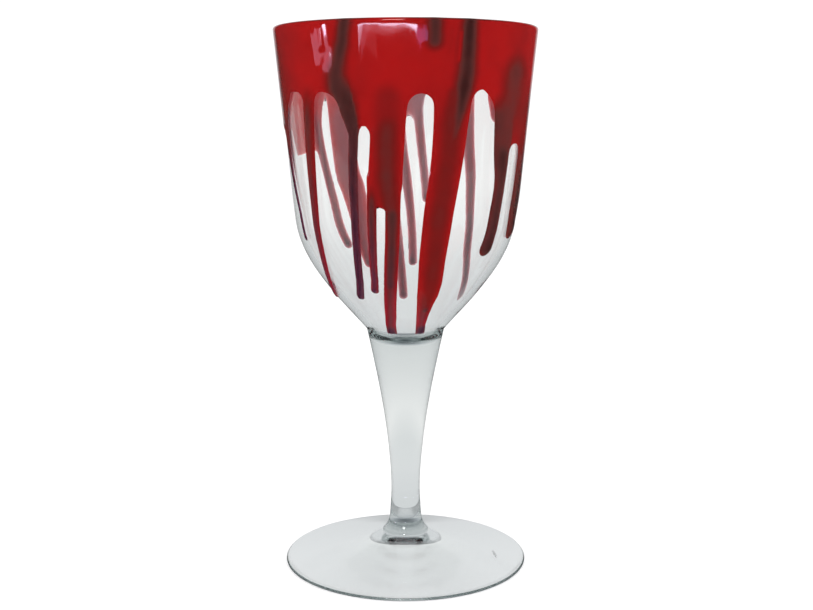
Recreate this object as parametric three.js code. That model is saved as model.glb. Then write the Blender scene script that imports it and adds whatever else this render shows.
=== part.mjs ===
// A stemmed wine glass of clear glass with a coat of red paint on its bowl. The paint was put on round
// the rim and ran down in long fingers while it was wet. Millimetres, +Z up. The origin is on the axis,
// level with the ring that the foot stands on. Bearings are degrees round the axis: 0 faces -Y and 90
// faces +X.
import * as THREE from 'three';

// Driving dimensions
const HEIGHT = 180;
const RIM_RADIUS = 42.8;
const RIM_WALL = 1.4;
const BOWL_BASE = 80.7; // height of the crease where the bowl meets the stem
const BOWL_BASE_RADIUS = 13.1;
const WELL_BOTTOM = 76; // lowest point of the drinking space, sunk into the head of the stem
const STEM_NECK_RADIUS = 4.87;
const FOOT_RADIUS = 41.3;
const FOOT_EDGE = 1.1; // thickness at the foot's rounded edge
const FOOT_HOLLOW = 5.7; // height of the hollow under the foot, on the axis
const FOOT_SEAT = 37.8; // radius at which the flat ring that the glass stands on begins
const PAINT_GAP = 0.3; // clearance left between the two solids
const PAINT_THICKNESS = 0.8;

// How finely the round shapes are cut
const GLASS_SIDES = 64;
const PAINT_COLUMNS = 120;
const PAINT_ROW_STEP = 2.4;
const PLAIN_BAND = 163; // above this height the band has no edges, and every third row is enough
const NARROWEST_FINGER = 3.3; // so that no finger slips between two columns
const EDGE_TRIM = 0.35; // taken off the paint's edge all round, so that no slit slips between them either

const point = (radius, height) => new THREE.Vector2(radius, height);

// A smooth line through a few [radius, height] pairs, cut into steps of about equal length.
function sweep(pairs, step) {
  const curve = new THREE.SplineCurve(pairs.map(([radius, height]) => point(radius, height)));
  return curve.getSpacedPoints(Math.round(curve.getLength() / step));
}

// The outside of the bowl from the crease up to the rim: a steep cone that swells into a round shoulder
// and then opens almost straight.
const bowlOutside = [
  [BOWL_BASE_RADIUS, BOWL_BASE], [17.2, 85.3], [24.3, 93.4], [31.6, 103.6],
  [35.8, 113.2], [37.4, 124], [39, 141], [40.8, 159.5], [RIM_RADIUS, HEIGHT - RIM_WALL / 2],
];

// The inside of the bowl from the rim down to the bottom of the well.
const bowlInside = [
  [RIM_RADIUS - RIM_WALL, HEIGHT - RIM_WALL / 2], [39.2, 159.5], [37.3, 141], [35.6, 124],
  [33.9, 113.2], [29.5, 103.6], [21.9, 93.4], [14.5, 85.3], [10.8, 81], [8.9, 77.6], [0, WELL_BOTTOM],
];

// The stem narrows from the crease to its neck, and opens again into the foot.
const stemOutside = [
  [5.15, 18.5], [STEM_NECK_RADIUS, 24.3], [5.2, 33], [6.5, 45.7], [8.5, 58.4], [11, 71],
  [BOWL_BASE_RADIUS, BOWL_BASE],
];

// The underside of the foot is dished, and flattens into the ring that the glass stands on.
const footUnderside = [[0, FOOT_HOLLOW], [5, 5.4], [12, 4.5], [25, 2.3], [FOOT_SEAT, 0]];

// The top of the foot is a shallow cone that meets the stem in a hollow fillet.
const footFillet = [[9.6, 9.1], [7.6, 10.3], [6.2, 12], [5.5, 14.4], [5.15, 18.5]];

// The rounded lip of the rim, from the outside over to the inside.
function rimLip(sides) {
  const middle = RIM_RADIUS - RIM_WALL / 2;
  const lip = [];
  for (let i = 1; i < sides; i += 1) {
    const turn = (Math.PI * i) / sides;
    lip.push(point(middle + (RIM_WALL / 2) * Math.cos(turn), HEIGHT - (RIM_WALL / 2) * (1 - Math.sin(turn))));
  }
  return lip;
}

// The rounded edge of the foot, from its underside up to its top.
function footEdge(sides) {
  const edge = [];
  for (let i = 0; i <= sides; i += 1) {
    const turn = -Math.PI / 2 + (Math.PI * i) / sides;
    const half = FOOT_EDGE / 2;
    edge.push(point(FOOT_RADIUS - half + half * Math.cos(turn), half + half * Math.sin(turn)));
  }
  return edge;
}

function clearGlassGoblet() {
  const profile = [
    ...sweep(footUnderside, 5),
    ...footEdge(4),
    ...sweep(footFillet, 2),
    ...sweep(stemOutside, 6).slice(1),
    ...sweep(bowlOutside, 5).slice(1),
    ...rimLip(4),
    ...sweep(bowlInside, 5),
  ];
  return new THREE.LatheGeometry(profile, GLASS_SIDES);
}

// Lower edge of the painted band as [bearing, height]: high where the glass shows between the fingers.
const bandEdge = [
  [-90, 146], [-72, 151], [-62, 159], [-40, 159], [-26, 157], [-21, 149], [-16, 149], [-8, 156], [4, 158],
  [35, 159.5], [43, 156], [48, 146], [56, 143], [100, 143], [115, 146], [127, 152], [133, 161], [150, 162],
  [168, 161], [174, 153], [180, 152], [188, 158], [215, 158], [226, 160], [231, 150], [234, 141.5],
  [241, 139], [262, 138], [270, 146],
];

// The fingers of paint, each a list of [bearing, height, width] down its middle line. The last point is
// the centre of the round bead that it stopped in.
const fingers = [
  [[-74, 160, 5], [-73, 142, 3.5], [-70, 131, 2.2], [-65, 120, 1.8], [-63.8, 112.6, 1.6]],
  [[-47, 162, 6], [-49.5, 142, 5], [-50, 122, 3.8], [-50, 113, 3.3], [-52, 107, 3], [-57.5, 101, 2.6],
    [-67, 95.8, 2.4], [-79, 92.3, 2.4]],
  [[-29, 165, 5], [-26, 153, 5], [-23.5, 147, 3.5], [-24.3, 139, 3.2], [-24.7, 131, 3.2], [-24.8, 121, 2.8],
    [-25.6, 110, 2.8], [-29.5, 100, 2.7], [-35.2, 94.4, 2.9]],
  [[-8, 162, 14], [-7.8, 148, 10.8], [-9.5, 131, 10.6], [-9.5, 128, 9]],
  [[-15.3, 133, 3.4], [-16.1, 121, 3.1], [-16.7, 111, 2.8], [-19.1, 100, 2.5], [-21, 96.9, 2.7]],
  [[-5.6, 133, 5], [-6.1, 119, 4.6], [-6.8, 111, 4.5], [-9.4, 99, 4.3], [-14, 88, 3.8], [-18, 84.5, 3.4]],
  [[20.5, 162, 15], [20.8, 155, 12.2], [19.2, 138, 10.4], [15.8, 121, 9.5], [14.4, 108, 8.6], [16, 97, 7.6],
    [16, 91, 5.2], [16.5, 85, 3.2]],
  [[48.5, 160, 9], [50.7, 141, 8.4], [51.2, 131, 6], [49.4, 121, 5.8], [47.6, 113, 5.6], [47.1, 110.4, 6]],
  [[78, 162, 17], [78.5, 142, 14.4], [75.5, 131, 12.4], [71, 121, 9.4], [69.5, 116, 8]],
  [[98, 158, 8], [98, 144, 7], [98, 139, 6]],
  [[126, 158, 9], [125, 148, 7]],
  [[145.6, 158, 6], [143, 141, 5.3], [140.6, 131, 5], [138.9, 116, 4.2], [135.5, 106, 4], [130.8, 101, 3.8],
    [122.5, 96, 3.6], [111, 91.5, 4], [104, 89.6, 4]],
  [[156, 160, 6], [156, 140, 4.5], [158, 110, 4.5]],
  [[173.6, 156, 4.2], [172.2, 146, 3.7], [169.4, 131, 3.4], [168, 122, 3.2]],
  [[184.8, 156, 4], [182.8, 147, 4], [181.8, 140, 4], [179.4, 129, 3.4], [176.9, 116, 2.8],
    [174.6, 99.4, 3.2]],
  [[188, 160, 4], [187.5, 130, 4], [185.5, 111, 4], [184, 101, 3.6], [182.3, 88.4, 3.4]],
  [[193, 160, 7], [192, 140, 5], [191, 127, 4.6]],
  [[217.5, 158, 10.4], [215.1, 134, 10], [210.8, 125, 10], [208.4, 117, 8], [208, 111, 6.6], [209, 99, 3.4]],
  [[235.5, 155, 6], [233.2, 141, 4.4], [228.8, 129, 4.2], [225.4, 120, 4.2], [223.4, 112, 4.2],
    [221, 106.3, 4]],
];
const BAND_BLEND = 4; // how softly a finger grows out of the band
const FINGER_BLEND = 0.8;

// The larger of two signed distances, rounded where they are nearly the same.
function blendedMax(a, b, blend) {
  const near = Math.max(blend - Math.abs(a - b), 0) / blend;
  return Math.max(a, b) + (near * near * blend) / 4;
}

// Reads a curve given as rising pairs [x, y] at x.
function readCurve(pairs, x) {
  const after = pairs.findIndex((pair) => pair[0] >= x);
  if (after === 0) return pairs[0][1];
  if (after < 0) return pairs[pairs.length - 1][1];
  const [x0, y0] = pairs[after - 1];
  const [x1, y1] = pairs[after];
  return y0 + ((y1 - y0) * (x - x0)) / (x1 - x0);
}

// The rows that the paint is laid on, from the crease to just under the lip. Each has its height, its
// radius, the direction straight out of the glass and its length along the wall from the crease.
const paintRows = (() => {
  const wall = sweep(bowlOutside, PAINT_ROW_STEP)
    .reverse()
    .filter((spot, i) => spot.y < PLAIN_BAND || i % 3 === 0)
    .reverse();
  let along = 0;
  return wall.map((here, i) => {
    const before = wall[Math.max(i - 1, 0)];
    const after = wall[Math.min(i + 1, wall.length - 1)];
    along += here.distanceTo(before);
    const slope = after.clone().sub(before).normalize();
    return { radius: here.x, height: here.y, outward: point(slope.y, -slope.x), along };
  });
})();
const alongAtHeight = paintRows.map((row) => [row.height, row.along]);

// How far inside the painted area a spot on the bowl is, in millimetres: below zero the glass is bare.
function paintDepth(bearing, row) {
  const turn = ((((bearing + 90) % 360) + 360) % 360) - 90;
  let depth = -Infinity;
  for (const finger of fingers) {
    for (let i = 1; i < finger.length; i += 1) {
      const [bearing0, height0, width0] = finger[i - 1];
      const [bearing1, height1, width1] = finger[i];
      const arc = THREE.MathUtils.degToRad(1) * row.radius;
      const from = point((turn - bearing0) * arc, row.along - readCurve(alongAtHeight, height0));
      const line = point(
        (bearing1 - bearing0) * arc,
        readCurve(alongAtHeight, height1) - readCurve(alongAtHeight, height0),
      );
      const share = THREE.MathUtils.clamp(from.dot(line) / line.lengthSq(), 0, 1);
      const halfWidth = Math.max(width0 + (width1 - width0) * share, NARROWEST_FINGER) / 2;
      depth = blendedMax(depth, halfWidth - from.distanceTo(line.multiplyScalar(share)), FINGER_BLEND);
    }
  }
  return blendedMax(depth, row.height - readCurve(bandEdge, turn), BAND_BLEND) - EDGE_TRIM;
}

// A skin of even thickness over the painted area. The bowl is divided into a grid of bearings and rows,
// each cell is cut along the line where the depth is zero, and walls close the skin round its edge.
function redPaintCoat() {
  const rows = paintRows;
  const depths = rows.map((row) => (
    Array.from({ length: PAINT_COLUMNS }, (_, column) => paintDepth((360 * column) / PAINT_COLUMNS, row))
  ));
  const spots = new Map(); // name of a grid corner or of a cut edge -> its number
  const inner = [];
  const outer = [];

  // Adds a spot at a column and a row that need not be whole numbers, on both faces of the skin.
  function addSpot(name, column, row) {
    if (spots.has(name)) return spots.get(name);
    const low = Math.floor(row);
    const share = row - low;
    const a = rows[low];
    const b = rows[Math.min(low + 1, rows.length - 1)];
    const turn = (2 * Math.PI * column) / PAINT_COLUMNS;
    const outward = a.outward.clone().lerp(b.outward, share).normalize();
    for (const [face, lift] of [[inner, PAINT_GAP], [outer, PAINT_GAP + PAINT_THICKNESS]]) {
      const radius = a.radius + (b.radius - a.radius) * share + outward.x * lift;
      const height = a.height + (b.height - a.height) * share + outward.y * lift;
      face.push([radius * Math.sin(turn), -radius * Math.cos(turn), height]);
    }
    spots.set(name, inner.length - 1);
    return inner.length - 1;
  }

  const cells = [];
  for (let row = 0; row + 1 < rows.length; row += 1) {
    for (let column = 0; column < PAINT_COLUMNS; column += 1) {
      const corners = [[column, row], [column + 1, row], [column + 1, row + 1], [column, row + 1]];
      const values = corners.map(([c, r]) => depths[r][c % PAINT_COLUMNS]);
      const cell = [];
      corners.forEach(([c, r], i) => {
        const [nextC, nextR] = corners[(i + 1) % 4];
        const name = `${c % PAINT_COLUMNS},${r}`;
        const nextName = `${nextC % PAINT_COLUMNS},${nextR}`;
        const next = values[(i + 1) % 4];
        if (values[i] > 0) cell.push(addSpot(name, c, r));
        if (values[i] > 0 !== next > 0) {
          const cut = THREE.MathUtils.clamp(values[i] / (values[i] - next), 0.12, 0.88);
          cell.push(addSpot([name, nextName].sort().join(' '), c + (nextC - c) * cut, r + (nextR - r) * cut));
        }
      });
      if (cell.length > 2) cells.push(cell);
    }
  }

  const count = inner.length; // the outer face's spots are numbered after the inner face's
  const triangles = [];
  const edges = new Set(cells.flatMap((cell) => cell.map((spot, i) => `${spot} ${cell[(i + 1) % cell.length]}`)));
  for (const cell of cells) {
    for (let i = 2; i < cell.length; i += 1) {
      triangles.push(cell[0] + count, cell[i - 1] + count, cell[i] + count);
      triangles.push(cell[0], cell[i], cell[i - 1]);
    }
    cell.forEach((spot, i) => {
      const next = cell[(i + 1) % cell.length];
      if (edges.has(`${next} ${spot}`)) return; // the next cell carries on from here
      triangles.push(spot, next, next + count, spot, next + count, spot + count);
    });
  }
  const coat = new THREE.BufferGeometry();
  coat.setAttribute('position', new THREE.Float32BufferAttribute([...inner, ...outer].flat(), 3));
  coat.setIndex(triangles);
  coat.computeVertexNormals();
  return coat;
}

const clearGlass = new THREE.MeshStandardMaterial({
  color: 0xe6ebea, roughness: 0.03, metalness: 0, transparent: true, opacity: 0.35,
});
const redPaint = new THREE.MeshStandardMaterial({ color: 0xb41818, roughness: 0.12, metalness: 0 });

const wineGlass = new THREE.Group();

const goblet = new THREE.Mesh(clearGlassGoblet(), clearGlass);
goblet.name = 'clear_glass_goblet';
goblet.rotation.x = Math.PI / 2; // a lathe turns about Y, and the glass stands along Z
wineGlass.add(goblet);

const coat = new THREE.Mesh(redPaintCoat(), redPaint);
coat.name = 'red_paint_coat';
wineGlass.add(coat);

export default wineGlass;
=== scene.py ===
"""A stemmed wine glass of clear glass, with a coat of red paint that ran down its bowl while wet.

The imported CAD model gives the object's size. This script lays a fine turned glass and a fine paint
film in its place, gives both their finish, and stands them in a small white studio. Lengths in the
tables are millimetres, and bearings are degrees round the axis: 0 faces -Y and 90 faces +X.
"""
import math

import bpy
import numpy as np
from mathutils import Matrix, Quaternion, Vector


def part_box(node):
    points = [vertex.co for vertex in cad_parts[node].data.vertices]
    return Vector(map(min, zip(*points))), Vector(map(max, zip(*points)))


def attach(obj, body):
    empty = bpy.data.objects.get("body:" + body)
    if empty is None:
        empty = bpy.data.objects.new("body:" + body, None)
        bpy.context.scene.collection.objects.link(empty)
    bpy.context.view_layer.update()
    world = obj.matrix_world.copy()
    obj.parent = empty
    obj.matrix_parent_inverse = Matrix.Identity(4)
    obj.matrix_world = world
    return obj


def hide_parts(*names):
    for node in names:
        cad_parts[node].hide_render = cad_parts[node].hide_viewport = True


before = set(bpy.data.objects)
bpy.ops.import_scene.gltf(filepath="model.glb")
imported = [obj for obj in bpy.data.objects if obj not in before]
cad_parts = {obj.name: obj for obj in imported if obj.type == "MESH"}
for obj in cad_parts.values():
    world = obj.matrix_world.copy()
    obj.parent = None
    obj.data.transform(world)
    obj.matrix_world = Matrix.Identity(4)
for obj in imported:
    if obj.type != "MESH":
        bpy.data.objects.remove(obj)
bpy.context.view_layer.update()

# ---------------------------------------------------------------- sizes, in millimetres
MM = 0.001
goblet_low, goblet_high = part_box("clear_glass_goblet")
HEIGHT = goblet_high.z / MM
RIM_RADIUS = goblet_high.x / MM
RIM_WALL = 1.4
LIP_HEIGHT = HEIGHT - RIM_WALL / 2  # centre of the rim's round lip
FOOT_RADIUS = 41.3
FOOT_EDGE = 0.9
FOOT_SEAT = 40.3  # radius at which the flat ring that the glass stands on begins
CREASE = (13.1, 80.7)  # radius and height of the crease where the bowl meets the stem

BOWL_OUTSIDE = [CREASE, (17.2, 85.3), (24.3, 93.4), (31.6, 103.6), (35.8, 113.2), (37.4, 124),
                (39, 141), (40.8, 159.5), (RIM_RADIUS, LIP_HEIGHT)]
BOWL_INSIDE = [(RIM_RADIUS - RIM_WALL, LIP_HEIGHT), (39.2, 159.5), (37.3, 141), (35.6, 124),
               (33.9, 113.2), (29.5, 103.6), (21.9, 93.4), (14.6, 85.3), (11.4, 81.6), (9.4, 78.9),
               (7, 77.1), (3.6, 76.2), (0, 76)]
STEM = [(5.15, 18.5), (4.87, 24.3), (5.2, 33), (6.5, 45.7), (8.5, 58.4), (11, 71), CREASE]
FOOT_UNDERSIDE = [(0, 5.7), (5, 5.4), (12, 4.5), (25, 2.5), (FOOT_SEAT, 0)]
FOOT_TOP = (24, 5.1)  # a spot on the shallow cone of the foot's upper side
FOOT_FILLET = [(9.2, 9), (7.6, 10.1), (6.3, 11.8), (5.5, 14.3), (5.15, 18.5)]

# ---------------------------------------------------------------- the paint, as it ran
# Lower edge of the band, as (bearing, height).
BAND_EDGE = [
    (-90, 146), (-72, 151), (-62, 159), (-40, 159), (-26, 157), (-21, 149), (-16, 149), (-8, 156), (4, 158),
    (35, 159.5), (43, 156), (48, 146), (56, 143), (100, 143), (115, 146), (127, 152), (133, 161),
    (150, 162), (168, 161), (174, 153), (180, 152), (188, 158), (215, 158), (226, 160), (231, 150),
    (234, 141.5), (241, 139), (262, 138), (270, 146),
]

# Fingers of paint: how deep the colour is at the edge and at the middle (0 thin and bright, 1 thick and
# dark), how far the end bead stands out, and (bearing, height, width) down the middle line.
FINGERS = [
    (0.8, 1.0, 0.2, [(-74, 160, 5), (-73, 142, 3.5), (-70, 131, 2.2), (-65, 120, 1.8), (-63.8, 112.6, 1.6)]),
    (0.35, 0.65, 0, [(-47, 162, 6), (-49.5, 142, 5), (-50, 122, 3.8), (-50, 113, 3.3), (-52, 107, 3),
                     (-57.5, 101, 2.6), (-67, 95.8, 2.2), (-79, 92.3, 1.6)]),
    (0.7, 0.95, 0.4, [(-29, 165, 5), (-26, 153, 5), (-23.5, 147, 3.5), (-24.3, 139, 3.2), (-24.7, 131, 3.2),
                      (-24.8, 121, 2.8), (-25.6, 110, 2.8), (-29.5, 100, 2.7), (-35.2, 94.4, 2.9)]),
    (0.1, 0.3, 0, [(-8, 162, 14), (-7.8, 148, 10.8), (-9.5, 131, 10.6), (-9.5, 128, 9)]),
    (0.4, 0.75, 0.4, [(-15.3, 133, 3.4), (-16.1, 121, 3.1), (-16.7, 111, 2.8), (-19.1, 100, 2.5),
                      (-21, 96.9, 2.7)]),
    (0.25, 0.6, 0, [(-5.6, 133, 5), (-6.1, 119, 4.6), (-6.8, 111, 4.5), (-9.4, 99, 4.3), (-14, 88, 3.8),
                    (-17.4, 84, 3.5), (-19, 81.2, 3.4)]),
    (0.15, 0.45, 0, [(20.5, 162, 15), (20.8, 155, 12.2), (19.2, 138, 10.4), (15.8, 121, 9.5),
                     (14.4, 108, 8.6), (16, 97, 7.6), (16, 91, 5.2), (17.4, 85, 3.4), (20.6, 81.2, 3.2)]),
    (0.7, 0.95, 0.5, [(48.5, 160, 9), (50.7, 141, 8.4), (51.2, 131, 6), (49.4, 121, 5.8),
                      (47.6, 113, 5.6), (47.1, 110.4, 6)]),
    (0.7, 0.95, 0.4, [(78, 162, 17), (78.5, 142, 14.4), (75.5, 131, 12.4), (71, 121, 9.4), (69.5, 116, 8)]),
    (0.4, 0.7, 0, [(98, 158, 8), (98, 146, 6)]),
    (0.3, 0.6, 0, [(126, 158, 9), (125, 153, 7)]),
    (0.3, 0.6, 0.4, [(145.6, 158, 6), (143, 141, 5.3), (140.6, 131, 5), (138.9, 116, 4.2), (135.5, 106, 4),
                     (130.8, 101, 3.8), (122.5, 96, 3.6), (111, 91.5, 4), (104, 89.6, 4)]),
    (0.3, 0.7, 0.4, [(156, 160, 6), (156, 140, 4.5), (158, 110, 4.5)]),
    (0.3, 0.6, 0.3, [(173.6, 156, 4.2), (172.2, 146, 3.7), (169.4, 131, 3.4), (168, 122, 3.2)]),
    (0.3, 0.6, 0.3, [(184.8, 156, 4), (182.8, 147, 4), (181.8, 140, 4), (179.4, 129, 4),
                     (176.9, 116, 3.4), (174.6, 99.4, 3.4)]),
    (0.3, 0.7, 0.3, [(188, 160, 4), (187.5, 130, 4), (185.5, 111, 4), (184, 101, 3.6), (182.3, 88.4, 3.4)]),
    (0.2, 0.5, 0.3, [(193, 160, 7), (192, 140, 5), (191, 127, 4.6)]),
    (0.15, 0.45, 0.2, [(217.8, 158, 11), (215.3, 134, 10.8), (211.2, 125, 10.2), (208.9, 117, 8.4),
                       (208.2, 111, 7), (209, 99, 3.4)]),
    (0.25, 0.55, 0.4, [(235.5, 155, 6), (232.7, 141, 4.8), (228.4, 129, 4.4), (225, 120, 4.4),
                       (223, 112, 4.4), (220.6, 106.3, 4.2)]),
]

# Streaks and patches within the film, each laid over the last: how deep its colour is (0 is bright), how far
# it stands out, and (bearing, height, width) down its middle line. Where a streak stands out, its deeper
# colour goes with the thicker paint. A patch that stands out by 0 changes only the colour, and the three on
# the right of the band are painted shade, darker towards its lower right.
STREAKS = [
    (0, 0, [(-6, 176, 22), (-6, 163, 22)]),
    (0.9, 0.12, [(-24.7, 181, 8), (-26, 174, 8), (-28.5, 168, 9.5), (-30.6, 161.5, 13), (-27, 156.5, 12),
                 (-24, 151, 8), (-23.5, 140, 4)]),
    (0.85, 0.16, [(11.6, 181, 8.5), (11.9, 173.5, 8.5)]),
    (0.98, 0.12, [(26.4, 181, 8.5), (26.3, 172, 10), (26, 163, 11), (23.5, 154, 8), (21, 146, 4)]),
    (0.34, 0, [(-7.5, 157, 12), (-7.8, 151, 13), (-8, 143, 10)]),
    (0.57, 0.03, [(-7.8, 148, 9), (-8.2, 140, 11), (-7.8, 128, 9), (-6.4, 116, 5)]),
    (0.82, 0, [(-6.1, 122, 4), (-6.8, 111, 4), (-9.4, 99, 3.6)]),
    (0.48, 0.04, [(20.5, 158, 6), (19.3, 140, 9), (16.5, 122, 8), (15.4, 108, 7), (16.5, 96, 6),
                  (16.5, 88, 4)]),
    (0.3, 0, [(-66, 184, 32), (-64, 160, 30)]),
    # painted shade: these three draw the band darker towards its right, most at its lower edge, by colour
    # alone
    (0.22, 0, [(56, 184, 26), (58, 168, 26)]),
    (0.44, 0, [(58, 160, 26), (66, 152, 36), (78, 146, 36)]),
    (0.64, 0, [(55, 164, 18), (53, 154, 16), (51, 144, 10)]),
    (0, 0, [(252, 165, 30), (250, 145, 30)]),
    (0.8, 0, [(174, 164, 18), (171, 152, 14)]),
    (0.9, 0, [(138.9, 116, 5), (130.8, 101, 5), (111, 91.5, 5)]),
    (0.9, 0, [(-18.4, 82.6, 5), (-19, 81, 5)]),
    (1, 0, [(20, 83, 5.5), (20.6, 81, 5)]),
    (0.62, 0, [(-84, 182, 18), (-76, 166, 26), (-74, 146, 26)]),
    (0.1, 0.12, [(-42, 177, 3), (-40, 166, 3.5)]),
    (0.1, 0.1, [(-37, 178, 2.5), (-36.5, 172, 2.5)]),
    (0.15, 0.2, [(18.6, 177, 2.6), (18, 170, 2.6)]),
    (0.1, 0.16, [(22.6, 176, 2.2), (22, 168, 2.2)]),
    (0.85, 0.3, [(16.6, 90.7, 2.2), (16.6, 90.3, 2.2)]),
]
BAND_TONE = 0.1
RIM_TONE = 0.9  # the thin dark line of paint along the rim
RIM_LINE = 0.6  # how far below the rim that line begins to show
RIM_LINE_FADE = 0.5  # height over which it darkens
BAND_BLEND = 4.0  # how softly a finger grows out of the band
FINGER_BLEND = 0.8
TONE_SPREAD = 0.8  # how far outside its own edge a finger still colours the film
TONE_TAKEOVER = 9  # how far below its start a finger has its own colour in full
PURPLE_BELOW = 3.25  # half width of a run under which it begins to turn to purple
PURPLE_RANGE = 2.5  # how much narrower it is when it turns all the way
RUN_SWELL = 0.25  # most that the middle of a run stands out
SWELL_HALF_WIDTH = 2  # half width of the run that stands out most
BEAD_LENGTH = 0.5  # of its middle line, so that a bead is nearly round
BEAD_DEPTH = 0.6  # how far a bead at the end of a run goes towards the deepest colour
FILM = 0.45  # thickness of the paint away from its edge
FILM_ROUNDING = 0.5  # how far in from its edge the film comes up to its thickness
BITE = 0.08  # how far the paint's back lies inside the glass, so that no air shows between them
LIP_REACH = 120  # degrees that the paint goes over the lip's half circle
LIP_FADE = 1.6  # length over which the film thins out there
LEAST_STEEPNESS = 0.3  # keeps a spot where the depth is nearly flat from being drawn in too far
FAR_OUTSIDE = -1e3

GLASS_SIDES = 192
PAINT_COLUMNS = 420
PAINT_ROW_STEP = 0.66


def smooth_line(points, step):
    """A Catmull-Rom curve through the points, as spots about one step apart along its length.

    Between b and c, with neighbours a and d, the spot at share t is
    (2b + (c - a)t + (2a - 5b + 4c - d)t^2 + (3b - a - 3c + d)t^3) / 2.
    """
    p = np.asarray(points, float)
    last = len(p) - 1
    index = np.arange(last)
    a, b, c, d = p[np.maximum(index - 1, 0)], p[index], p[index + 1], p[np.minimum(index + 2, last)]
    spots_per_stretch = 60
    t = np.linspace(0, 1, spots_per_stretch, endpoint=False)[:, None, None]
    fine = (2 * b + (c - a) * t + (2 * a - 5 * b + 4 * c - d) * t**2 + (3 * b - a - 3 * c + d) * t**3) / 2
    fine = np.concatenate([fine.transpose(1, 0, 2).reshape(-1, p.shape[1]), p[-1:]])
    along = length_along(fine)
    even = np.linspace(0, along[-1], max(2, round(along[-1] / step) + 1))
    return np.stack([np.interp(even, along, column) for column in fine.T], 1)


def length_along(line):
    """Length from the line's start to each of its spots."""
    return np.concatenate([[0], np.cumsum(np.linalg.norm(np.diff(line, axis=0), axis=1))])


def arc(centre, radius, start, end, count):
    """Spots on a circle about the centre, from one angle in degrees to another, both included."""
    turn = np.radians(np.linspace(start, end, count))
    return np.stack([centre[0] + radius * np.cos(turn), centre[1] + radius * np.sin(turn)], 1)


def smooth_step(x):
    """0 below 0, 1 above 1, and 3x^2 - 2x^3 between."""
    x = np.clip(x, 0, 1)
    return x * x * (3 - 2 * x)


def blended_max(a, b, blend):
    """The larger of a and b, plus a quarter of (blend - |a - b|)^2 / blend where they are close."""
    near = np.maximum(blend - np.abs(a - b), 0) / blend
    return np.maximum(a, b) + near * near * blend / 4


def add_piece(name, points, faces, materials, slot_of_face=None, sharp=None):
    """A mesh piece from points in millimetres and lists of faces, smooth but for creases over `sharp`."""
    mesh = bpy.data.meshes.new(name)
    mesh.from_pydata((np.asarray(points) * MM).tolist(), [], faces)
    for material in materials:
        mesh.materials.append(material)
    mesh.polygons.foreach_set("use_smooth", np.ones(len(mesh.polygons), bool))
    if slot_of_face is not None:
        mesh.polygons.foreach_set("material_index", np.asarray(slot_of_face, np.int32))
    if sharp is not None:
        mesh.set_sharp_from_angle(angle=math.radians(sharp))
    mesh.update()
    piece = bpy.data.objects.new(name, mesh)
    bpy.context.scene.collection.objects.link(piece)
    return piece


# ---------------------------------------------------------------- materials
def colour(hex_code):
    """An sRGB hex code as linear red, green, blue and an alpha of 1."""
    parts = np.array([int(hex_code[i:i + 2], 16) for i in (1, 3, 5)]) / 255
    linear = np.where(parts <= 0.04045, parts / 12.92, ((parts + 0.055) / 1.055) ** 2.4)
    return (*linear.tolist(), 1.0)


def add_node(tree, kind, settings=(), stops=(), **sockets):
    """Adds a node. `settings` are its own properties; each socket gets a value or another's output.

    `stops` are a colour ramp's (place, hex colour) pairs. A socket is named, or is _ and its number.
    """
    node = tree.nodes.new(kind)
    for name, value in dict(settings).items():
        setattr(node, name, value)
    for place, _ in stops[2:]:
        node.color_ramp.elements.new(place)
    for number, (place, hex_code) in enumerate(stops):
        node.color_ramp.elements[number].position = place
        node.color_ramp.elements[number].color = colour(hex_code)
    for name, value in sockets.items():
        socket = node.inputs[int(name[1:])] if name[0] == "_" else node.inputs[name.replace("_", " ")]
        if isinstance(value, bpy.types.NodeSocket):
            tree.links.new(value, socket)
        else:
            socket.default_value = value
    return node


def new_material(name):
    """An empty material with its node tree and output."""
    material = bpy.data.materials.new(name)
    material.use_nodes = True
    material.node_tree.nodes.clear()
    return material, material.node_tree, material.node_tree.nodes.new("ShaderNodeOutputMaterial")


def blown_soda_glass():
    """Soda-lime glass, blown and fire polished: clear and smooth, with a faint cool grey in its depth.

    A slow swell of the surface bends what is seen through it, and one small scuff on the foot is dull.
    """
    material, tree, output = new_material("soda_glass_fire_polished")
    place = add_node(tree, "ShaderNodeTexCoord").outputs["Object"]
    swell = add_node(tree, "ShaderNodeTexNoise", Vector=place, Scale=1 / (14 * MM), Detail=1.0, Roughness=0.4)
    surface = add_node(tree, "ShaderNodeBump", Height=swell.outputs["Fac"], Distance=0.05 * MM, Strength=0.5)
    at_scuff = add_node(
        tree, "ShaderNodeMapping", {"vector_type": "TEXTURE"}, Vector=place,
        Location=(30.5 * MM, -8 * MM, 3.6 * MM), Rotation=(0, 0, math.radians(8)),
        Scale=(0.9 * MM, 4.5 * MM, 3 * MM),
    )
    scuff = add_node(
        tree, "ShaderNodeTexGradient", {"gradient_type": "SPHERICAL"}, Vector=at_scuff.outputs[0],
    )
    dulled = add_node(tree, "ShaderNodeMapRange", Value=scuff.outputs["Fac"], From_Max=0.5, To_Max=0.3)
    glass = add_node(
        tree, "ShaderNodeBsdfPrincipled",
        Base_Color=colour("#FFFFFF"), Roughness=dulled.outputs[0], IOR=1.5, Transmission_Weight=1.0,
        Normal=surface.outputs[0],
    )
    depth = add_node(tree, "ShaderNodeVolumeAbsorption", Color=colour("#C8CFCF"), Density=36.0)
    tree.links.new(glass.outputs["BSDF"], output.inputs["Surface"])
    tree.links.new(depth.outputs["Volume"], output.inputs["Volume"])
    return material


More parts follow.
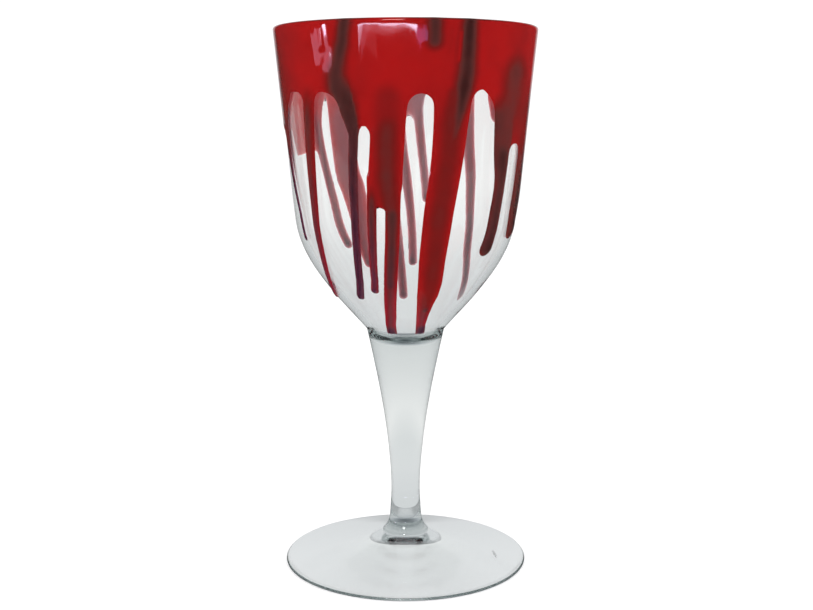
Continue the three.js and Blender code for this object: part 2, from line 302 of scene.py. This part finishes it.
def poured_red_paint():
    """Cured gloss enamel, poured wet: bright blood red where thin, brown-red where it ran thick, and darker
    still where shade is painted into its colour on the right of the band.

    Far down a narrow run it turns to purple. Slow mottling gives the uneven depth of a hand-poured coat,
    and a fine orange peel in the clear gloss breaks the edges of its highlights.
    """
    material, tree, output = new_material("red_enamel_poured_gloss")
    place = add_node(tree, "ShaderNodeTexCoord").outputs["Object"]
    mottle = add_node(tree, "ShaderNodeTexNoise", Vector=place, Scale=1 / (9 * MM), Detail=2.0)
    pooling_and_painted_shade = add_node(tree, "ShaderNodeAttribute", {"attribute_name": "pooling_and_painted_shade"})
    uneven = add_node(tree, "ShaderNodeMapRange", Value=mottle.outputs["Fac"], To_Min=-0.14, To_Max=0.14)
    depth = add_node(
        tree, "ShaderNodeMath", {"operation": "ADD", "use_clamp": True}, _0=pooling_and_painted_shade.outputs["Fac"],
        _1=uneven.outputs[0],
    )
    near_top = add_node(
        tree, "ShaderNodeValToRGB", _0=depth.outputs[0],
        stops=[(0, "#971313"), (0.1, "#8F1313"), (0.3, "#7C1313"), (0.48, "#681614"), (0.62, "#5C2220"),
               (0.8, "#4A2422"), (1, "#341816")],
    )
    down_run = add_node(
        tree, "ShaderNodeValToRGB", _0=depth.outputs[0],
        stops=[(0, "#981624"), (0.3, "#801828"), (0.55, "#62222E"), (0.8, "#4C2034"), (1, "#3A182C")],
    )
    run_share = add_node(tree, "ShaderNodeAttribute", {"attribute_name": "run_share"})
    body = add_node(
        tree, "ShaderNodeMix", {"data_type": "RGBA"}, _0=run_share.outputs["Fac"],
        _6=near_top.outputs["Color"], _7=down_run.outputs["Color"],
    )
    peel = add_node(tree, "ShaderNodeTexNoise", Vector=place, Scale=1 / (2.2 * MM), Detail=1.0)
    gloss_skin = add_node(
        tree, "ShaderNodeBump", Height=peel.outputs["Fac"], Distance=0.003 * MM, Strength=0.6,
    )
    paint = add_node(
        tree, "ShaderNodeBsdfPrincipled",
        Base_Color=body.outputs[2], Roughness=0.5, Specular_IOR_Level=0.0,
        Coat_Weight=1.0, Coat_Roughness=0.035, Coat_IOR=1.5, Coat_Normal=gloss_skin.outputs[0],
        Subsurface_Weight=1.0, Subsurface_Radius=(1.0, 0.35, 0.35), Subsurface_Scale=0.6 * MM,
    )
    tree.links.new(paint.outputs["BSDF"], output.inputs["Surface"])
    return material


def paint_against_glass():
    """The same enamel where it is bonded to the glass, flat. Its colour is painted greyed to mauve: a painted
    veil of pale light over the red, as seen through the glass.
    """
    material, tree, output = new_material("red_enamel_glass_side_painted_veil")
    place = add_node(tree, "ShaderNodeTexCoord").outputs["Object"]
    mottle = add_node(tree, "ShaderNodeTexNoise", Vector=place, Scale=1 / (7 * MM), Detail=2.0)
    pooling_and_painted_shade = add_node(tree, "ShaderNodeAttribute", {"attribute_name": "pooling_and_painted_shade"})
    uneven = add_node(tree, "ShaderNodeMapRange", Value=mottle.outputs["Fac"], To_Min=-0.1, To_Max=0.1)
    depth = add_node(
        tree, "ShaderNodeMath", {"operation": "ADD", "use_clamp": True}, _0=pooling_and_painted_shade.outputs["Fac"],
        _1=uneven.outputs[0],
    )
    # painted veil of pale light: the red is drawn pale and greyed to mauve, greyer where the paint is deeper
    body = add_node(
        tree, "ShaderNodeValToRGB", _0=depth.outputs[0],
        stops=[(0, "#D04444"), (0.12, "#B8767A"), (0.3, "#AA8A90"), (0.6, "#A0969C"), (1, "#8C9096")],
    )
    paint = add_node(
        tree, "ShaderNodeBsdfPrincipled",
        Base_Color=body.outputs["Color"], Roughness=0.6, Specular_IOR_Level=0.1, Subsurface_Weight=1.0,
        Subsurface_Radius=(1.0, 0.6, 0.6), Subsurface_Scale=2.5 * MM,
    )
    tree.links.new(paint.outputs["BSDF"], output.inputs["Surface"])
    return material


# ---------------------------------------------------------------- the glass
def glass_profile():
    """Radius and height round the glass's half section, from under the foot to the bottom of the bowl."""
    half_edge = FOOT_EDGE / 2
    lip_centre = (RIM_RADIUS - RIM_WALL / 2, LIP_HEIGHT)
    edge = arc((FOOT_RADIUS - half_edge, half_edge), half_edge, -90, 90, 9)
    top = smooth_line([edge[-1], FOOT_TOP, *FOOT_FILLET], 0.7)
    return np.concatenate([
        smooth_line(FOOT_UNDERSIDE, 1.5), edge, top[1:], smooth_line(STEM, 1.4)[1:],
        smooth_line(BOWL_OUTSIDE, 1.3)[1:], arc(lip_centre, RIM_WALL / 2, 0, 180, 9)[1:-1],
        smooth_line(BOWL_INSIDE, 1.3),
    ])


def turned_solid(profile, sides):
    """Points and faces of a solid turned about Z: point (i, j) is (r_i sin t_j, -r_i cos t_j, z_i).

    The profile's first and last spots are on the axis, and a fan of triangles closes each end.
    """
    turn = np.linspace(0, 2 * np.pi, sides, endpoint=False)
    radius, height = profile[1:-1, :1], profile[1:-1, 1:]
    rings = np.stack([radius * np.sin(turn), -radius * np.cos(turn), height + 0 * turn], -1)
    points = np.concatenate([rings.reshape(-1, 3), [[0, 0, profile[0, 1]], [0, 0, profile[-1, 1]]]])
    i, j = np.meshgrid(np.arange(len(radius) - 1), np.arange(sides), indexing="ij")
    here, beside = i * sides + j, i * sides + (j + 1) % sides
    quads = np.stack([here, beside, beside + sides, here + sides], -1).reshape(-1, 4)
    j = np.arange(sides)
    top_ring = (len(radius) - 1) * sides
    bottom_fan = np.stack([np.full(sides, len(points) - 2), (j + 1) % sides, j], 1)
    top_fan = np.stack([np.full(sides, len(points) - 1), top_ring + j, top_ring + (j + 1) % sides], 1)
    return points, quads.tolist() + bottom_fan.tolist() + top_fan.tolist()


def goblet():
    """The whole glass as one turned solid."""
    points, faces = turned_solid(glass_profile(), GLASS_SIDES)
    piece = add_piece("goblet_glass", points, faces, [blown_soda_glass()])
    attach(piece, "root")
    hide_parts("clear_glass_goblet")


# ---------------------------------------------------------------- the paint film
def paint_wall(step):
    """The wall under the paint, from the crease up and over the lip: spots, outward normals, lengths."""
    lip = arc((RIM_RADIUS - RIM_WALL / 2, LIP_HEIGHT), RIM_WALL / 2, 0, LIP_REACH, 5)
    wall = np.concatenate([smooth_line(BOWL_OUTSIDE, step), lip[1:]])
    slope = np.gradient(wall, axis=0)
    slope /= np.hypot(slope[:, :1], slope[:, 1:])
    return wall, np.stack([slope[:, 1], -slope[:, 0]], 1), length_along(wall)


def line_depth(line, bearing, wall, along):
    """How far inside a tapering round-ended line each spot is, in millimetres, and the half width there.

    A stretch from p to q holds a spot s by half its width less |s - p - k(q - p)|, where
    k = (s - p).(q - p) / |q - p|^2, kept between 0 and 1. The wall is unrolled at the spot's own radius.
    """
    depth = np.full(bearing.shape, FAR_OUTSIDE)
    half = np.ones(bearing.shape)
    per_degree = math.radians(1) * wall[:, :1]
    body = wall[:, 1] <= LIP_HEIGHT
    for (b0, z0, w0), (b1, z1, w1) in zip(line[:-1], line[1:]):
        s0, s1 = np.interp([z0, z1], wall[body, 1], along[body])
        across, down = (bearing - b0) * per_degree, along[:, None] - s0
        run, fall = (b1 - b0) * per_degree, s1 - s0
        share = np.clip((across * run + down * fall) / (run**2 + fall**2), 0, 1)
        half_here = (w0 + (w1 - w0) * share) / 2
        depth_here = half_here - np.hypot(across - share * run, down - share * fall)
        half = np.where(depth_here > depth, half_here, half)
        depth = np.maximum(depth, depth_here)
    return depth, half


def paint_fields(bearing, wall, along):
    """Depth inside the painted area, thickness of the film, depth of its colour and share down its run.

    Every finger adds its area by a blended maximum. Its colour deepens from its edge to its middle. The
    film comes up from its edge as 1 - exp(-depth / rounding), and streaks and beads stand out from it.
    A ripple of a few microns, the sum of two sine waves round the bowl, keeps it from being even.
    """
    height = wall[:, 1:] + 0 * bearing
    band = height - np.interp(bearing, *zip(*BAND_EDGE))
    area = np.full(bearing.shape, FAR_OUTSIDE)
    tone = BAND_TONE + (RIM_TONE - BAND_TONE) * smooth_step((height - HEIGHT + RIM_LINE) / RIM_LINE_FADE)
    run_share = np.zeros(bearing.shape)
    relief = np.zeros(bearing.shape)
    for edge_tone, core_tone, bead, line in FINGERS:
        top, end = line[0][1], line[-1]
        depth, half = line_depth(smooth_line(line, 4), bearing, wall, along)
        area = blended_max(area, depth, FINGER_BLEND)
        held = smooth_step(1 + depth / TONE_SPREAD) * smooth_step((top - height) / TONE_TAKEOVER)
        deep = edge_tone + (core_tone - edge_tone) * smooth_step(depth / half)
        tone += (deep - tone) * held
        narrow = smooth_step((PURPLE_BELOW - half) / PURPLE_RANGE)
        run_share += (narrow * smooth_step((top - height) / (top - end[1])) - run_share) * held
        slim = np.minimum(half / SWELL_HALF_WIDTH, SWELL_HALF_WIDTH / half)
        relief += RUN_SWELL * smooth_step(depth / half) * held * slim
        if bead:
            bead_line = [end, (end[0], end[1] + BEAD_LENGTH, end[2])]
            depth, half = line_depth(bead_line, bearing, wall, along)
            relief += bead * smooth_step(depth / half)
            tone += (1 - tone) * BEAD_DEPTH * smooth_step(depth / half)
    for core_tone, swell, line in STREAKS:
        depth, half = line_depth(smooth_line(line, 4), bearing, wall, along)
        held = smooth_step(depth / half)
        tone += (core_tone - tone) * held
        relief += swell * held
    area = blended_max(area, band, BAND_BLEND)
    turn = np.radians(bearing)
    ripple = 0.004 * np.sin(7 * turn + 1.0) * np.sin(0.3 * height) + 0.008 * np.sin(19 * turn + 0.1 * height)
    film = (FILM + relief + ripple) * (1 - np.exp(-np.maximum(area, 0) / FILM_ROUNDING))
    lip_fade = smooth_step((along[-1] - along[:, None]) / LIP_FADE)
    return area, film * lip_fade, np.clip(tone, 0, 1), run_share


def paint_film():
    """The paint as one closed skin over a grid of bearings and wall rows.

    Spots just outside the painted area are drawn in on to its edge, along the slope of the depth. Cells
    with all four corners painted or on the edge are kept. The front stands out from the wall by the
    film's thickness, the back lies a little inside the wall, and the two meet in the spots on the edge.
    """
    columns = PAINT_COLUMNS
    wall, outward, along = paint_wall(PAINT_ROW_STEP)
    bearing = np.arange(columns) * 360 / columns - 90 + np.zeros((len(wall), 1))
    area, film, tone, run_share = paint_fields(bearing, wall, along)

    # the depth's slope per millimetre round the wall and along it
    round_step = np.radians(360 / columns) * wall[:, :1]
    slope_round = (np.roll(area, -1, 1) - np.roll(area, 1, 1)) / (2 * round_step)
    slope_along = np.gradient(area, along, axis=0)
    steep = np.maximum(slope_round**2 + slope_along**2, LEAST_STEEPNESS)

    inside = area > 0
    grown = inside | np.roll(inside, 1, 1) | np.roll(inside, -1, 1)
    near = grown.copy()
    near[1:] |= grown[:-1]
    near[:-1] |= grown[1:]
    on_edge = near & ~inside
    pull = np.where(on_edge, -area / steep, 0)
    turn = np.radians(bearing) + pull * slope_round / wall[:, :1]
    moved_along = np.clip(along[:, None] + pull * slope_along, 0, along[-1])
    on_edge[[0, -1]] |= inside[[0, -1]]  # the film feathers out in the crease and on top of the lip

    def skin(lift):
        """The grid of spots lifted off the wall: r and z are each the wall's, plus lift times outward."""
        on_wall = [np.interp(moved_along, along, side) for side in wall.T]
        facing = [np.interp(moved_along, along, side) for side in outward.T]
        radius, height = (spot + lift * way for spot, way in zip(on_wall, facing))
        return np.stack([radius * np.sin(turn), -radius * np.cos(turn), height], -1).reshape(-1, 3)

    points = np.concatenate([skin(np.where(on_edge, 0, film)), skin(np.where(on_edge, 0, -BITE))])
    i, j = np.meshgrid(np.arange(len(wall) - 1), np.arange(columns), indexing="ij")
    here, beside = (i * columns + j).ravel(), (i * columns + (j + 1) % columns).ravel()
    cells = np.stack([here, beside, beside + columns, here + columns], 1)
    edge, painted = on_edge.ravel(), (inside | on_edge).ravel()
    cells = cells[painted[cells].all(1) & ~edge[cells].all(1)]
    back = np.where(edge[cells], cells, cells + len(edge))[:, ::-1]
    faces = np.concatenate([cells, back])
    used, faces_used = np.unique(faces, return_inverse=True)
    slots = np.repeat([0, 1], len(cells))
    piece = add_piece(
        "paint_film", points[used], faces_used.reshape(faces.shape).tolist(),
        [poured_red_paint(), paint_against_glass()], slots, sharp=60,
    )
    for name, field in (("pooling_and_painted_shade", tone), ("run_share", run_share)):
        values = np.tile(field.ravel(), 2)[used].astype(np.float32)
        piece.data.attributes.new(name, "FLOAT", "POINT").data.foreach_set("value", values)
    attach(piece, "root")
    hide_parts("red_paint_coat")


# ---------------------------------------------------------------- the studio
FOCAL_LENGTH = 53.1
CAMERA_ASIDE = 0.33  # millimetres to the right
CAMERA_DISTANCE = 2.2308  # from the axis, in heights of the glass
CAMERA_RISE = 0.8353  # likewise
CAMERA_DIP = 8.77  # degrees that it looks down

# Dim lights in front of the glass. Their mirror image in the band is a pale arch with a leg at its left
# and a veil at its right. Name, x and z of the centre, size in metres, power, tint and roll in degrees.
ARCH_Y = -0.85
ARCH_LIGHTS = [
    ("arch_middle", (-0.16, 0.0802), (0.34, 0.0075), 0.22, "#E6E2FF", 0),
    ("arch_left", (-0.42, 0.0775), (0.19, 0.0075), 0.11, "#E6E2FF", 1.6),
    ("arch_end", (-0.59, 0.069), (0.17, 0.007), 0.09, "#E0E0FF", 3.8),
    ("arch_right", (0.07, 0.0772), (0.13, 0.0075), 0.075, "#E6E2FF", -2.6),
    ("arch_glow", (-0.22, 0.0715), (0.62, 0.01), 0.04, "#FFC8DC", 0),
    ("left_leg", (-0.65, 0.055), (0.08, 0.02), 0.035, "#F0D0F0", 14),
    ("left_veil", (-0.56, 0.055), (0.15, 0.018), 0.012, "#FFACCE", 10),
    ("left_haze", (-0.5, 0.052), (0.22, 0.026), 0.014, "#FFA0B0", -6),
    ("right_veil", (0.15, 0.067), (0.08, 0.017), 0.011, "#E0A8FF", -12),
]


def pale_floor():
    """A matt white sheet under the glass. Gloss and glass look past it on to the tent round it."""
    material, tree, output = new_material("matt_white_card")
    card = add_node(tree, "ShaderNodeBsdfPrincipled", Base_Color=colour("#F8F8F8"), Roughness=0.9)
    tree.links.new(card.outputs["BSDF"], output.inputs["Surface"])
    half, level = 2500, -0.05
    corners = [(-half, -half, level), (half, -half, level), (half, half, level), (-half, half, level)]
    floor = add_piece("floor", corners, [(0, 1, 2, 3)], [material])
    floor.visible_glossy = False
    floor.visible_transmission = False


def soft_light(name, place, aim, size, power, tint="#FFFFFF", roll=0, glossy=True):
    """A soft light at a place, facing an aim point, both in metres, rolled by some degrees."""
    lamp = bpy.data.lights.new(name, "AREA")
    lamp.shape = "RECTANGLE"
    lamp.size, lamp.size_y = size
    lamp.color = colour(tint)[:3]
    lamp.energy = power
    light = bpy.data.objects.new(name, lamp)
    bpy.context.scene.collection.objects.link(light)
    light.location = place
    facing = (Vector(aim) - Vector(place)).to_track_quat("-Z", "Y")
    light.rotation_euler = (facing @ Quaternion((0, 0, 1), math.radians(roll))).to_euler()
    light.visible_camera = False
    light.visible_transmission = False
    light.visible_glossy = glossy


def studio_world():
    """A white tent. Glass passes on its light grey, deeper below and above.

    Gloss mirrors a dim room, with a pale backdrop straight behind the glass.
    """
    world = bpy.data.worlds.new("white_tent")
    bpy.context.scene.world = world
    world.use_nodes = True
    tree = world.node_tree
    tree.nodes.clear()
    path = add_node(tree, "ShaderNodeLightPath")
    direction = add_node(tree, "ShaderNodeTexCoord").outputs["Generated"]
    rise = add_node(tree, "ShaderNodeSeparateXYZ", Vector=direction)
    level = add_node(tree, "ShaderNodeMapRange", Value=rise.outputs["Z"], From_Min=-1.0)
    tent = add_node(
        tree, "ShaderNodeValToRGB", _0=level.outputs[0],
        stops=[(0, "#6C7276"), (0.1, "#B0B6BA"), (0.2, "#D8DCDD"), (0.36, "#DFE2E3"), (0.43, "#E6E9E9"),
               (0.47, "#FAFBFA"), (0.6, "#E2E5E6"), (1, "#A4AAAE")],
    )
    behind = add_node(
        tree, "ShaderNodeVectorMath", {"operation": "DOT_PRODUCT"}, _0=direction, _1=(0, 0.95, 0.3),
    )
    room = add_node(
        tree, "ShaderNodeValToRGB", _0=behind.outputs["Value"], stops=[(0.85, "#2A2A2C"), (0.92, "#CCCED0")],
    )
    mirrored = add_node(
        tree, "ShaderNodeMix", {"data_type": "RGBA"}, _0=path.outputs["Is Glossy Ray"],
        _6=(1.07, 1.07, 1.07, 1), _7=room.outputs["Color"],
    )
    through = add_node(
        tree, "ShaderNodeMix", {"data_type": "RGBA"}, _0=path.outputs["Is Transmission Ray"],
        _6=mirrored.outputs[2], _7=tent.outputs["Color"],
    )
    seen = add_node(
        tree, "ShaderNodeMix", {"data_type": "RGBA"}, _0=path.outputs["Is Camera Ray"],
        _6=through.outputs[2], _7=colour("#FFFFFF"),
    )
    background = add_node(tree, "ShaderNodeBackground", Color=seen.outputs[2], Strength=1.08)
    output = add_node(tree, "ShaderNodeOutputWorld")
    tree.links.new(background.outputs["Background"], output.inputs["Surface"])


def camera():
    """A camera a little under the rim, looking down at the foot."""
    height = HEIGHT * MM
    lens = bpy.data.cameras.new("camera")
    lens.lens = FOCAL_LENGTH
    lens.sensor_width = 36
    lens.clip_start = 0.01
    eye = bpy.data.objects.new("camera", lens)
    bpy.context.scene.collection.objects.link(eye)
    eye.location = (CAMERA_ASIDE * MM, -CAMERA_DISTANCE * height, CAMERA_RISE * height)
    eye.rotation_euler = (math.radians(90 - CAMERA_DIP), 0, 0)
    bpy.context.scene.camera = eye


scene = bpy.context.scene
scene.view_settings.view_transform = "Standard"
scene.view_settings.look = "None"
scene.cycles.max_bounces = 40  # light runs to and fro many times inside thick glass
scene.cycles.glossy_bounces = 24
scene.cycles.transmission_bounces = 40
goblet()
paint_film()
pale_floor()
studio_world()
camera()
middle = (0, 0, 0.12)
soft_light("key", (-0.25, -1.35, 0.95), middle, (0.45, 0.4), 6.5)
soft_light("fill", (1.0, -1.0, 0.7), middle, (0.9, 0.9), 3, glossy=False)
rim = (0, 0, 0.17)
for name, (x, z), size, power, tint, roll in ARCH_LIGHTS:
    soft_light(name, (x, ARCH_Y, z), rim, size, power, tint, roll)
soft_light("side_panel", (-0.76, -0.18, 0.108), rim, (0.23, 0.034), 0.07, "#FFB8D8")
soft_light("side_strip", (-0.76, -0.272, 0.119), rim, (0.022, 0.03), 0.05, "#E4E0FF")
soft_light("back_card", (0, 1.5, 0.72), (0, 0, 0), (2.0, 0.5), 1.4, glossy=False)
